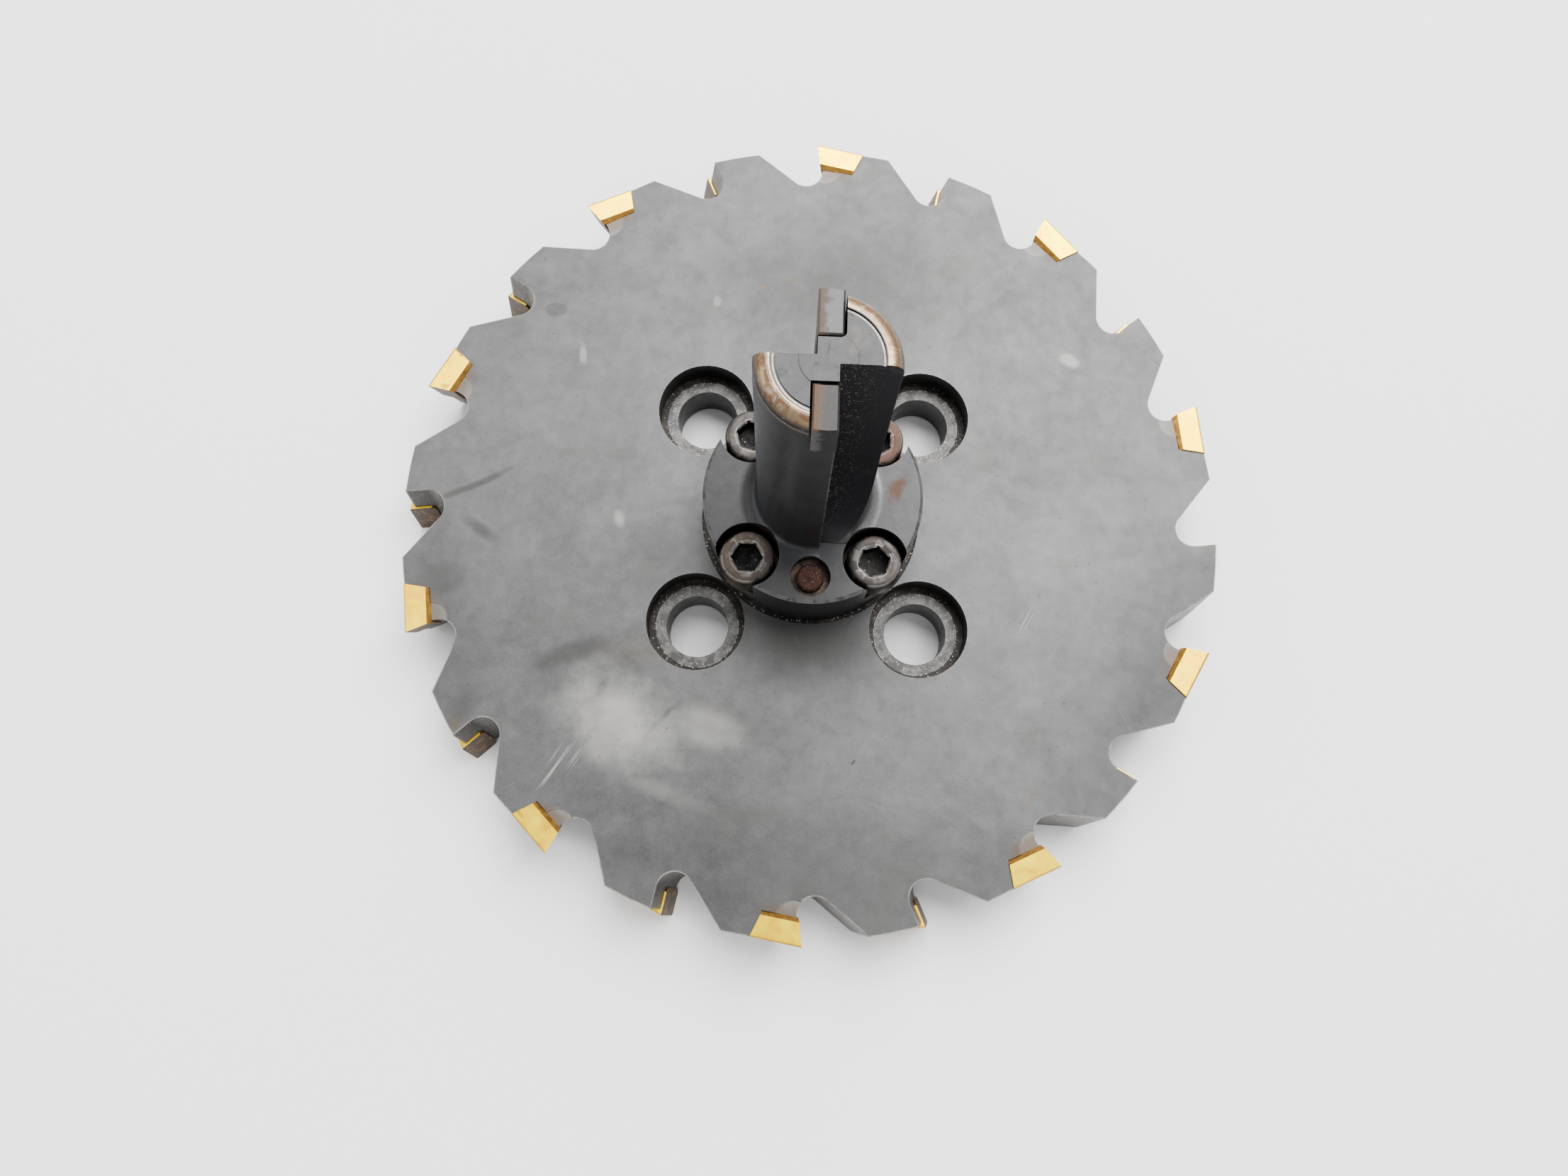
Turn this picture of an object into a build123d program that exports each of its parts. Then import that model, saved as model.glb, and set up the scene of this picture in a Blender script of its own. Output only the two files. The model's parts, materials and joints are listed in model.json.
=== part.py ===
"""Staggered-tooth slotting cutter with a jaw-drive stem bolted to its face.

Millimetres. +Z runs up the stem. The origin is on the axis, in the plane through the cutting ends of the
lower inserts. The four hub bolt holes stand at 45 degrees to X and Y.
"""
from build123d import *
from math import cos, radians, sin, sqrt, tan
import os

# ---- Cutting sizes
cut_diameter = 152.4  # over the insert tips
cut_width = 15.875  # over the cutting ends of the upper and lower inserts
tooth_pairs = 10  # one upper and one lower tooth in each
first_lead_angle = 90.65  # leading tip of upper tooth 1, from +X
axial_rake = 10.0  # lean of every leading face away from its cutting end
side_stand = 0.79  # inserts above the side faces of the body
radial_stand = 1.1  # inserts beyond the rim of the body

# ---- Inserts
insert_length = 9.17  # along the rim
insert_thickness = 4.76  # radially
insert_width = 8.3  # along the axis
insert_end_slope = 16.0  # end walls of the insert, off square
insert_relief = 10.0  # drop of the outer face behind the tip
insert_side_relief = 3.0  # drop of the cutting end behind the tip
insert_bevel = 0.76  # along the inner edges of both cutting ends
insert_nose = 0.4  # rounding of the outer edges of both cutting ends
insert_lead = 0.3  # leading face ahead of the rake face of the body

# ---- Insert screws
insert_screw_radius = 1.5
insert_screw_head_radius = 2.5
insert_screw_grip = 5.2  # thread in the body
insert_screw_sunk = 0.25  # head below the outer face of the insert
insert_socket_across = 2.0
insert_socket_depth = 1.2
insert_hole_clearance = 0.2
insert_thread_clearance = 0.03

# ---- Gullets
gullet_back = 11.7  # from the tip's radius forward to the heel of the tooth in front
gullet_slope = 38.3  # fall of the heel side
gullet_lean = 6.0  # lean of the rake side
gullet_radius = 3.2
spot_radius = 3.1  # shallow spot milled at the inner leading corner of each pocket
spot_depth = 0.18
rim_chamfer = 0.22

# ---- Hub of the body
pilot_radius = 9.525  # counterbore in the back face, for a spindle's pilot
pilot_depth = 7.0
spigot_bore_radius = 7.94
register_gap = 0.9  # between the recess and the flange in it
register_depth = 1.2
bolt_circle = 57.15
bolt_angle = 45.0
bolt_hole_radius = 5.75
bolt_head_radius = 8.93
bolt_head_depth = 5.5

# ---- Drive stem
flange_radius = 19.05
flange_above_face = 14.7
flange_chamfer = 0.55
spigot_length = 5.5
spigot_clearance = 0.02
stem_radius = 9.525
stem_length = 58.3  # from the flange's top
stem_fillet = 3.2
stem_rim_radius = 2.1
end_groove_radius = 6.91
end_groove_width = 0.55
end_groove_depth = 0.3
end_boss_radius = 3.7
end_boss_height = 0.08
jaw_side = 1.41  # drive face of each jaw, from the axis
jaw_back = 0.585  # back face of each jaw, from the axis
runout_radius = 50.0  # milling cutter's sweep at the foot of each jaw
runout_height = 27.0  # where the sweep starts, above the flange

# ---- Drive keys
key_width = 3.35
key_depth = 7.4
key_inner = 3.2  # inner end, from the axis
key_proud = 0.08  # in front of the drive face
key_gap = 0.3
key_corner = 0.8
key_chamfer = 0.25

# ---- Cap screws and dowel
screw_circle = 31.0
screw_radius = 3.175
screw_head_radius = 4.765
screw_head_height = 6.35
screw_head_chamfer = 0.45
screw_length = 19.05
screw_socket_across = 4.76
screw_socket_depth = 3.1
screw_tip_chamfer = 0.6
screw_turn = 15.0  # of each socket from the last
screw_below_flange = 1.7  # head top below the flange's top
screw_seat_radius = 5.55
screw_clearance = 0.05
dowel_circle_radius = 14.43
dowel_radius = 2.38
dowel_well_radius = 3.45
dowel_well_depth = 2.2
dowel_below_flange = 0.7
dowel_in_body = 7.0
dowel_chamfer = 0.35

# ---- Sizes that follow
tip_radius = cut_diameter / 2
body_radius = tip_radius - radial_stand
body_bottom = side_stand
body_top = cut_width - side_stand
body_thickness = body_top - body_bottom
register_radius = flange_radius + register_gap
register_floor = body_top - register_depth
flange_top = body_top + flange_above_face
stem_end = flange_top + stem_length
tooth_pitch = 180 / tooth_pairs
screw_seat = flange_top - screw_below_flange - screw_head_height
outside = 5.0  # how far cuts run past the surface they open

upper_leads = [first_lead_angle + 2 * tooth_pitch * n for n in range(tooth_pairs)]
lower_leads = [angle + tooth_pitch for angle in upper_leads]
UPPER, LOWER = 1, -1
teeth = [(lead, UPPER) for lead in upper_leads] + [(lead, LOWER) for lead in lower_leads]

os.makedirs("parts", exist_ok=True)


def write(piece, name):
    """Label a finished piece and write its STEP file."""
    piece.part.label = name
    export_step(piece.part, f"parts/{name}.step")


def rake_direction(lead, side):
    """Unit vector along a tooth's leading face, away from its cutting end."""
    back, drop = sin(radians(axial_rake)), cos(radians(axial_rake))
    return Vector(back * sin(radians(lead)), -back * cos(radians(lead)), -side * drop)


def tooth_plane(lead, side):
    """Level plane at a tooth's cutting end: local Y out through the tip, local X back along the rim."""
    height = cut_width if side == UPPER else 0
    return Plane(
        origin=(0, 0, height), x_dir=(sin(radians(lead)), -cos(radians(lead)), 0), z_dir=(0, 0, 1)
    )


def insert_plane(lead, side):
    """Plane of an insert's cutting end: origin at the tip, local X back along its outer edge."""
    turned = radians(lead - insert_relief)
    fall = radians(insert_side_relief)
    tip = tooth_plane(lead, side).from_local_coords((0, tip_radius, 0))
    back = Vector(cos(fall) * sin(turned), -cos(fall) * cos(turned), -side * sin(fall))
    outward = Vector(cos(turned), sin(turned), 0)
    return Plane(origin=tip, x_dir=back, z_dir=back.cross(outward))


def seat_plane(lead, side):
    """Plane of an insert's outer face: origin at the face's centre, local Z outwards."""
    cutting_end = insert_plane(lead, side)
    along = rake_direction(lead, side)
    outward = cutting_end.x_dir.cross(along)
    if outward.dot(cutting_end.y_dir) < 0:
        outward = outward * -1
    centre = cutting_end.origin + cutting_end.x_dir * insert_length / 2 + along * insert_slant / 2
    return Plane(origin=centre, x_dir=cutting_end.x_dir, z_dir=outward)


insert_slant = insert_width / cos(radians(axial_rake))
end_step = insert_thickness * tan(radians(insert_end_slope))

# Where the straight heel side and rake side of a gullet would meet, in the tooth plane
heel_fall = tan(radians(gullet_slope))
rake_lean = tan(radians(gullet_lean))
heel_height = sqrt(body_radius**2 - gullet_back**2)
root_height = (
    heel_height - heel_fall * (gullet_back + insert_lead + rake_lean * tip_radius)
) / (1 - heel_fall * rake_lean)
root_across = insert_lead + rake_lean * (tip_radius - root_height)
gullet_reach = 20.0
chamfer_reach = 2.5 * rim_chamfer  # the 45 degree cut runs on into the open gullet


def gullet_sketch(lead, side, height, grow=0.0):
    """Outline of one gullet where it crosses the level plane at a height, its edges moved out by grow."""
    level = tooth_plane(lead, side)
    along = rake_direction(lead, side)
    crossing = level.origin + along * ((height - level.origin.Z) / along.Z)
    with BuildSketch(Plane(origin=crossing, x_dir=level.x_dir, z_dir=level.z_dir)) as gullet:
        with BuildLine():
            Polyline(
                (
                    root_across - gullet_reach * sin(radians(gullet_lean)),
                    root_height + gullet_reach * cos(radians(gullet_lean)),
                ),
                (root_across, root_height),
                (
                    root_across - gullet_reach * cos(radians(gullet_slope)),
                    root_height + gullet_reach * sin(radians(gullet_slope)),
                ),
                close=True,
            )
        make_face()
        fillet(gullet.vertices().sort_by_distance((0, 0, height))[0], gullet_radius)
        if grow:
            offset(amount=grow)
    return gullet


# ---- Cutter body
with BuildPart() as cutter_body:
    with BuildSketch(Plane.XY.offset(body_bottom)):
        Circle(body_radius)
    extrude(amount=body_thickness)
    chamfer(cutter_body.edges(), rim_chamfer)
    with BuildSketch(Plane.XY.offset(body_bottom)):
        Circle(spigot_bore_radius)
    extrude(amount=body_thickness, mode=Mode.SUBTRACT)
    with BuildSketch(Plane.XY.offset(body_bottom)):
        Circle(pilot_radius)
    extrude(amount=pilot_depth, mode=Mode.SUBTRACT)

    # Gullets, leaning with the leading faces, their edges broken at both side faces
    for lead, side in teeth:
        start = body_top + outside if side == UPPER else body_bottom - outside
        extrude(
            gullet_sketch(lead, side, start).sketch,
            amount=(body_thickness + 2 * outside) / cos(radians(axial_rake)),
            dir=rake_direction(lead, side),
            mode=Mode.SUBTRACT,
        )
        for height, inward in ((body_top, -1), (body_bottom, 1)):
            broken = gullet_sketch(lead, side, height, grow=rim_chamfer)
            extrude(broken.sketch, amount=inward * chamfer_reach, taper=45, mode=Mode.SUBTRACT)

    # Insert pockets, open to the rim, the gullet and their own side face
    for lead, side in teeth:
        with BuildSketch(insert_plane(lead, side)):
            with BuildLine():
                Polyline(
                    (-gullet_radius / 2, outside),
                    (insert_length + outside * tan(radians(insert_end_slope)), outside),
                    (insert_length - end_step, -insert_thickness),
                    (-gullet_radius / 2, -insert_thickness),
                    close=True,
                )
            make_face()
        extrude(amount=insert_slant, dir=rake_direction(lead, side), mode=Mode.SUBTRACT)
        with Locations(seat_plane(lead, side)):
            Hole(
                insert_screw_radius + insert_thread_clearance,
                depth=insert_thickness + insert_screw_grip,
            )

    # Shallow milled spot beside each pocket
    for lead, side in teeth:
        face_height = body_top if side == UPPER else body_bottom
        with BuildSketch(tooth_plane(lead, side).offset(face_height - tooth_plane(lead, side).origin.Z)):
            with Locations((end_step, tip_radius - insert_thickness)):
                Circle(spot_radius)
        extrude(amount=-side * spot_depth, mode=Mode.SUBTRACT)

    # Register recess, hub bolt holes, threaded holes and dowel hole
    with BuildSketch(Plane.XY.offset(register_floor)):
        Circle(register_radius)
    extrude(amount=register_depth, mode=Mode.SUBTRACT)
    with Locations(Plane.XY.offset(body_top)):
        with PolarLocations(bolt_circle / 2, 4, start_angle=bolt_angle):
            CounterBoreHole(bolt_hole_radius, bolt_head_radius, bolt_head_depth)
        with PolarLocations(screw_circle / 2, 4, start_angle=bolt_angle):
            Hole(screw_radius + screw_clearance)
    with Locations((0, -dowel_circle_radius, register_floor)):
        Hole(dowel_radius, depth=dowel_in_body)
write(cutter_body, "cutter_body")


def carbide_insert(lead, side):
    """One insert: a trapezoid along the rim, bevelled inside and rounded outside at both cutting ends."""
    seat = seat_plane(lead, side)
    with BuildPart() as insert:
        with BuildSketch(insert_plane(lead, side)):
            with BuildLine():
                Polyline(
                    (0, 0),
                    (insert_length, 0),
                    (insert_length - end_step, -insert_thickness),
                    (end_step, -insert_thickness),
                    close=True,
                )
            make_face()
        extrude(amount=insert_slant, dir=rake_direction(lead, side))
        across = Axis(seat.origin, seat.z_dir)
        ends = insert.faces().sort_by(Axis.Z)
        cutting_ends = ends[0].edges() + ends[-1].edges()
        outer = [e for e in cutting_ends.sort_by(across)[-2:]]
        inner = [e for e in cutting_ends.sort_by(across)[:2]]
        chamfer(inner, insert_bevel)
        fillet(outer, insert_nose)
        with Locations(seat):
            CounterSinkHole(
                insert_screw_radius + insert_hole_clearance,
                insert_screw_head_radius + insert_hole_clearance + insert_screw_sunk,
                depth=insert_thickness + outside,
                counter_sink_angle=90,
            )
    return insert


# ---- Inserts
for name, leads, side in (("upper", upper_leads, UPPER), ("lower", lower_leads, LOWER)):
    for number, lead in enumerate(leads, start=1):
        write(carbide_insert(lead, side), f"{name}_insert_{number:02d}")


# ---- Insert screws
for name, leads, side in (("upper", upper_leads, UPPER), ("lower", lower_leads, LOWER)):
    with BuildPart() as insert_screws:
        for lead in leads:
            seat = seat_plane(lead, side)
            cone = insert_screw_head_radius - insert_screw_radius
            foot = -insert_thickness - insert_screw_grip + insert_screw_sunk
            with BuildSketch(Plane(origin=seat.origin, x_dir=seat.x_dir, z_dir=-seat.y_dir)):
                with BuildLine():
                    Polyline(
                        (0, -insert_screw_sunk),
                        (insert_screw_head_radius, -insert_screw_sunk),
                        (insert_screw_radius, -insert_screw_sunk - cone),
                        (insert_screw_radius, foot),
                        (0, foot),
                        close=True,
                    )
                make_face()
            revolve(axis=Axis(seat.origin, seat.z_dir))
            with BuildSketch(seat.offset(-insert_screw_sunk)):
                RegularPolygon(insert_socket_across / 2, 6, major_radius=False)
            extrude(amount=-insert_socket_depth, mode=Mode.SUBTRACT)
    write(insert_screws, f"{name}_insert_screws")


def jaw_plane(side):
    """Plane of a jaw's drive face, local X up the stem and local Y into the quadrant milled away."""
    return Plane(origin=(side * jaw_side, 0, 0), x_dir=(0, 0, 1), z_dir=(side, 0, 0))


def key_plane(side):
    """Level plane at the foot of a key, local Y out along the key and local X back into its jaw."""
    return Plane(origin=(0, 0, stem_end - key_depth), x_dir=(side, 0, 0), z_dir=(0, 0, 1))


# ---- Drive stem
with BuildPart() as drive_stem:
    with BuildSketch(Plane.XY.offset(register_floor)):
        Circle(flange_radius)
    extrude(amount=flange_top - register_floor)
    chamfer(drive_stem.faces().sort_by(Axis.Z)[-1].edges(), flange_chamfer)
    with BuildSketch(Plane.XY.offset(register_floor - spigot_length)):
        Circle(spigot_bore_radius - spigot_clearance)
    extrude(amount=spigot_length)
    with BuildSketch(Plane.XY.offset(flange_top)):
        Circle(stem_radius)
    extrude(amount=stem_length)
    stem_circles = drive_stem.edges().filter_by(GeomType.CIRCLE).filter_by(
        lambda edge: abs(edge.radius - stem_radius) < end_boss_height
    )
    fillet(stem_circles.filter_by(lambda edge: abs(edge.center().Z - flange_top) < 1), stem_fillet)
    fillet(drive_stem.faces().sort_by(Axis.Z)[-1].edges(), stem_rim_radius)

    # Turned groove and the low boss in the middle of the end face
    with BuildSketch(Plane.XY.offset(stem_end)):
        Circle(end_groove_radius + end_groove_width / 2)
        Circle(end_groove_radius - end_groove_width / 2, mode=Mode.SUBTRACT)
    extrude(amount=-end_groove_depth, mode=Mode.SUBTRACT)
    with BuildSketch(Plane.XY.offset(stem_end)):
        Circle(end_groove_radius)
        Circle(end_boss_radius, mode=Mode.SUBTRACT)
    extrude(amount=-end_boss_height, mode=Mode.SUBTRACT)

    # Cap screw counterbores, which break out through the flange's rim, and the dowel's well
    with Locations(Plane.XY.offset(flange_top)):
        with PolarLocations(screw_circle / 2, 4, start_angle=bolt_angle):
            Hole(screw_radius + 3 * screw_clearance)
    with BuildSketch(Plane.XY.offset(screw_seat)):
        with PolarLocations(screw_circle / 2, 4, start_angle=bolt_angle):
            Circle(screw_seat_radius)
    extrude(amount=flange_top + stem_fillet - screw_seat, mode=Mode.SUBTRACT)
    with Locations((0, -dowel_circle_radius, flange_top)):
        CounterBoreHole(dowel_radius, dowel_well_radius, dowel_well_depth, depth=flange_above_face * 2)

    # Two opposite quadrants milled away, each ending in the hollow of the cutter's sweep
    runout_depth = runout_radius - sqrt(runout_radius**2 - runout_height**2)
    for side in (1, -1):
        with BuildSketch(jaw_plane(side)):
            with BuildLine():
                far = stem_radius + stem_fillet
                Line((flange_top + runout_height, jaw_back), (stem_end + outside, jaw_back))
                Line((stem_end + outside, jaw_back), (stem_end + outside, far))
                Line((stem_end + outside, far), (flange_top, far))
                Line((flange_top, far), (flange_top, jaw_back + runout_depth))
                RadiusArc(
                    (flange_top, jaw_back + runout_depth),
                    (flange_top + runout_height, jaw_back),
                    -runout_radius,
                )
            make_face()
        extrude(amount=far, mode=Mode.SUBTRACT)

    # Key pockets in the drive faces
    for side in (1, -1):
        with BuildSketch(key_plane(side)) as pocket:
            with BuildLine():
                Polyline(
                    (-jaw_side - key_gap, stem_radius + outside),
                    (-jaw_side - key_gap, key_inner - key_gap),
                    (-jaw_side + key_width - key_proud + key_gap, key_inner - key_gap),
                    (-jaw_side + key_width - key_proud + key_gap, stem_radius + outside),
                    close=True,
                )
            make_face()
            corner = pocket.vertices().group_by(Axis.Y)[0 if side > 0 else -1].sort_by(Axis.X)
            fillet(corner[-1 if side > 0 else 0], key_corner)
        extrude(amount=key_depth + outside, mode=Mode.SUBTRACT)
write(drive_stem, "drive_stem")


# ---- Drive keys, their outer ends turned flush with the stem
for number, side in ((1, 1), (2, -1)):
    with BuildPart() as drive_key:
        with BuildSketch(key_plane(side)):
            with BuildLine():
                Polyline(
                    (-jaw_side - key_proud, stem_radius),
                    (-jaw_side - key_proud, key_inner),
                    (-jaw_side - key_proud + key_width, key_inner),
                    (-jaw_side - key_proud + key_width, stem_radius),
                    close=True,
                )
            make_face()
        extrude(amount=key_depth)
        with BuildSketch(key_plane(side)):
            Circle(stem_radius)
        extrude(amount=key_depth, mode=Mode.INTERSECT)
        chamfer(drive_key.faces().sort_by(Axis.Z)[-1].edges(), key_chamfer)
    write(drive_key, f"drive_key_{number}")


# ---- Socket head cap screws
for number in range(4):
    angle = radians(bolt_angle + 90 * number)
    across, up = screw_circle / 2 * cos(angle), screw_circle / 2 * sin(angle)
    seat = Plane(origin=(across, up, screw_seat), x_dir=(cos(angle), sin(angle), 0), z_dir=(0, 0, 1))
    with BuildPart() as cap_screw:
        with BuildSketch(seat):
            Circle(screw_head_radius)
        extrude(amount=screw_head_height)
        chamfer(cap_screw.faces().sort_by(Axis.Z)[-1].edges(), screw_head_chamfer)
        with BuildSketch(seat):
            Circle(screw_radius)
        extrude(amount=-screw_length)
        chamfer(cap_screw.faces().sort_by(Axis.Z)[0].edges(), screw_tip_chamfer)
        with BuildSketch(seat.offset(screw_head_height)):
            RegularPolygon(screw_socket_across / 2, 6, major_radius=False, rotation=screw_turn * number)
        extrude(amount=-screw_socket_depth, mode=Mode.SUBTRACT)
    write(cap_screw, f"cap_screw_{number + 1}")


# ---- Dowel pin
with BuildPart() as dowel_pin:
    dowel_length = flange_top - dowel_below_flange - register_floor + dowel_in_body
    with BuildSketch(Plane((0, -dowel_circle_radius, register_floor - dowel_in_body))):
        Circle(dowel_radius)
    extrude(amount=dowel_length)
    chamfer(dowel_pin.edges().filter_by(GeomType.CIRCLE), dowel_chamfer)
write(dowel_pin, "dowel_pin")
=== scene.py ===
"""Studio scene of a worn staggered-tooth slotting cutter with a bolted jaw-drive stem.

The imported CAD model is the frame. This script dresses every node, models the cap screws in full and sets
the studio. Lengths inside the finishes are millimetres on Object coordinates; lengths of objects are
metres.
"""
from __future__ import annotations

import json
import logging
import math
from dataclasses import dataclass, field
from enum import Enum
from typing import Any, Sequence

import bmesh
import bpy
from mathutils import Matrix, Vector


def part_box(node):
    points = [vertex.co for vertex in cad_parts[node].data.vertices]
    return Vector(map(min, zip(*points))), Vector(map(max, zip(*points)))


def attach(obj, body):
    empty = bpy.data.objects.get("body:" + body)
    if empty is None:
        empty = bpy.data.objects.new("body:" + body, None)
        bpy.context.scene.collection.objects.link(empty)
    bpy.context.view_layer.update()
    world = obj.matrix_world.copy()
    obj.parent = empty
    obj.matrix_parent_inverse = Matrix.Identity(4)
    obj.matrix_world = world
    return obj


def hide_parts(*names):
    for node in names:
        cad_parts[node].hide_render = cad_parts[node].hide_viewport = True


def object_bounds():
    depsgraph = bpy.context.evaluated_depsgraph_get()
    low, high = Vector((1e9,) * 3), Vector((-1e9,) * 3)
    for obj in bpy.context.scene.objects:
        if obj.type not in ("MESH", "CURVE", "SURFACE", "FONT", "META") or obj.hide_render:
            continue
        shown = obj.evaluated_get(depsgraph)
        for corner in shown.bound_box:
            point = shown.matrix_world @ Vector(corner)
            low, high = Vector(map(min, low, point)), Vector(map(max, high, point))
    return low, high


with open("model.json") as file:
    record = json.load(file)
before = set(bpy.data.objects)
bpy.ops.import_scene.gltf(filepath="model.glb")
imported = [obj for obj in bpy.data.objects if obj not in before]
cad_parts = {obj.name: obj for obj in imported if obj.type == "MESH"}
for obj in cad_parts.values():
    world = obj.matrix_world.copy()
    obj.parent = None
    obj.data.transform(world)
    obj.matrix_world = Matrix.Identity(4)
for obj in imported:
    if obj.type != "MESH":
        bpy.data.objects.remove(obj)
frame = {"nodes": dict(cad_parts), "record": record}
CAD_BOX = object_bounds()

log = logging.getLogger("slotting_cutter")
MM = 0.001
FULL_TURN = 360.0

Colour = tuple[float, float, float]


class Side(Enum):
    """The side faces that the inserts stand on; the value starts the names of their nodes."""

    UPPER = "upper"
    LOWER = "lower"


# ------------------------------------------------------------------------------------------ shader maths


class Wire:
    """One shader socket that takes part in Python arithmetic, adding a Math node for each operation."""

    def __init__(self, graph: "Graph", socket: bpy.types.NodeSocket) -> None:
        """Keep the socket and the graph that it belongs to."""
        self.graph = graph
        self.socket = socket

    def math(self, operation: str, *others: Any, swap: bool = False) -> "Wire":
        """Feed this socket and others to a Math node.

        Args:
            operation: the Math node's operation.
            others: numbers or wires for its further sockets.
            swap: put this socket second, for the reflected operators.

        Returns:
            The node's result.
        """
        values = [*others, self] if swap else [self, *others]
        return self.graph.make("ShaderNodeMath", {"operation": operation}, dict(enumerate(values)))

    def __add__(self, other: Any) -> "Wire":
        """Sum."""
        return self.math("ADD", other)

    __radd__ = __add__

    def __sub__(self, other: Any) -> "Wire":
        """Difference."""
        return self.math("SUBTRACT", other)

    def __rsub__(self, other: Any) -> "Wire":
        """Difference, this one taken away."""
        return self.math("SUBTRACT", other, swap=True)

    def __mul__(self, other: Any) -> "Wire":
        """Product."""
        return self.math("MULTIPLY", other)

    __rmul__ = __mul__

    def __truediv__(self, other: Any) -> "Wire":
        """Quotient."""
        return self.math("DIVIDE", other)

    def __pow__(self, other: Any) -> "Wire":
        """Power."""
        return self.math("POWER", other)

    def __abs__(self) -> "Wire":
        """Size without sign."""
        return self.math("ABSOLUTE")

    def step(self, low: float, high: float) -> "Wire":
        """Smooth step from 0 at low to 1 at high; low may be the larger, for a step down."""
        if low > high:
            return 1.0 - self.step(high, low)
        return self.graph.make(
            "ShaderNodeMapRange", {"interpolation_type": "SMOOTHSTEP"}, {0: self, 1: low, 2: high}
        )

    def either(self, other: Any) -> "Wire":
        """The larger of two."""
        return self.math("MAXIMUM", other)

    def both(self, other: Any) -> "Wire":
        """The smaller of two."""
        return self.math("MINIMUM", other)


class Graph:
    """The node tree of one material, with the patterns that the finishes share."""

    def __init__(self, name: str) -> None:
        """Start an empty material with an output and a principled shader."""
        self.material = bpy.data.materials.new(name)
        self.material.use_nodes = True
        self.tree = self.material.node_tree
        self.tree.nodes.clear()
        self.output = self.tree.nodes.new("ShaderNodeOutputMaterial")
        self.shader = self.tree.nodes.new("ShaderNodeBsdfPrincipled")
        self.tree.links.new(self.shader.outputs[0], self.output.inputs[0])
        coordinates = self.tree.nodes.new("ShaderNodeTexCoord")
        self.metres = Wire(self, coordinates.outputs["Object"])
        self.point = self.make(
            "ShaderNodeVectorMath", {"operation": "SCALE"}, {0: self.metres, "Scale": 1 / MM}
        )
        self.x, self.y, self.z = self.split(self.point)
        self.facing = self.split(Wire(self, coordinates.outputs["Normal"]))
        self.level = abs(self.facing[2])

    def make(
        self, kind: str, settings: dict[str, Any], sockets: dict[Any, Any], result: Any = 0
    ) -> Wire:
        """Add one node.

        Args:
            kind: the node's type.
            settings: its properties, set first; "stops" are the (place, colour) stops of a ramp.
            sockets: a value or a wire for each input, by index or name.
            result: the output wanted, by index or name.

        Returns:
            That output.
        """
        node = self.tree.nodes.new(kind)
        for key, value in settings.items():
            if key == "stops":
                ramp = node.color_ramp
                while len(ramp.elements) < len(value):
                    ramp.elements.new(1.0)
                for element, (place, colour) in zip(ramp.elements, value):
                    element.position = place
                    element.color = (*colour, 1.0)
            else:
                setattr(node, key, value)
        for key, value in sockets.items():
            if isinstance(value, Wire):
                self.tree.links.new(value.socket, node.inputs[key])
            elif isinstance(value, tuple) and len(node.inputs[key].default_value) == 4:
                node.inputs[key].default_value = (*value, 1.0)
            else:
                node.inputs[key].default_value = value
        return Wire(self, node.outputs[result])

    def mixed(self, share: Any, a: Any, b: Any) -> Wire:
        """Number a turning into number b by a share."""
        return self.make(
            "ShaderNodeMix", {"data_type": "FLOAT", "clamp_factor": True}, {0: share, 2: a, 3: b}
        )

    def split(self, vector: Wire) -> tuple[Wire, Wire, Wire]:
        """The three components of a vector."""
        parts = self.make("ShaderNodeSeparateXYZ", {}, {0: vector}).socket.node.outputs
        return Wire(self, parts[0]), Wire(self, parts[1]), Wire(self, parts[2])

    def noise(
        self, size: float, detail: float = 3.0, rough: float = 0.55, warp: float = 0.0,
        stretch: Sequence[float] = (1.0, 1.0, 1.0), turn: float = 0.0, shift: float = 0.0,
    ) -> Wire:
        """Noise on Object coordinates.

        Args:
            size: length of one feature, mm.
            detail: finer octaves.
            rough: strength of the finer octaves.
            warp: distortion.
            stretch: how many times longer the features are along X, Y and Z.
            turn: rotation of the pattern about Z, degrees.
            shift: offset that gives another pattern of the same kind.

        Returns:
            The noise, around 0.5.
        """
        along = self.make(
            "ShaderNodeMapping", {"vector_type": "TEXTURE"},
            {
                "Vector": self.point,
                "Location": (shift, 1.7 * shift, 0.6 * shift),
                "Rotation": (0.0, 0.0, math.radians(turn)),
                "Scale": tuple(size * s for s in stretch),
            },
        )
        return self.make(
            "ShaderNodeTexNoise", {},
            {"Vector": along, "Scale": 1.0, "Detail": detail, "Roughness": rough, "Distortion": warp},
        )

    def specks(self, size: float, share: float, shift: float = 0.0) -> Wire:
        """Sharp specks of that size, mm, over about that share of the surface."""
        return self.noise(size, 1.0, 0.5, shift=shift).step(0.74 - share, 0.80 - share)

    def scratches(self, spacing: float, length: float, turn: float, share: float, shift: float) -> Wire:
        """Fine scratches that run along one direction.

        Args:
            spacing: width of a scratch's cell, mm.
            length: how many times longer than wide.
            turn: direction from X, degrees.
            share: how much of the surface they take, 0 to 1.
            shift: offset of the pattern.

        Returns:
            1 on a scratch, 0 off it.
        """
        lines = self.noise(spacing, 2.0, 0.6, stretch=(length, 1.0, 1.0), turn=turn, shift=shift)
        return lines.step(0.78 - 0.4 * share, 0.86 - 0.4 * share)

    def mix(self, share: Any, a: Any, b: Any) -> Wire:
        """Colour a turning into colour b by a share."""
        return self.make(
            "ShaderNodeMix", {"data_type": "RGBA", "clamp_factor": True}, {0: share, 6: a, 7: b}, 2
        )

    def tint(self, colour: Any, factor: Any) -> Wire:
        """A colour made lighter or darker by a factor."""
        return self.make("ShaderNodeVectorMath", {"operation": "SCALE"}, {0: colour, "Scale": factor})

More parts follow.
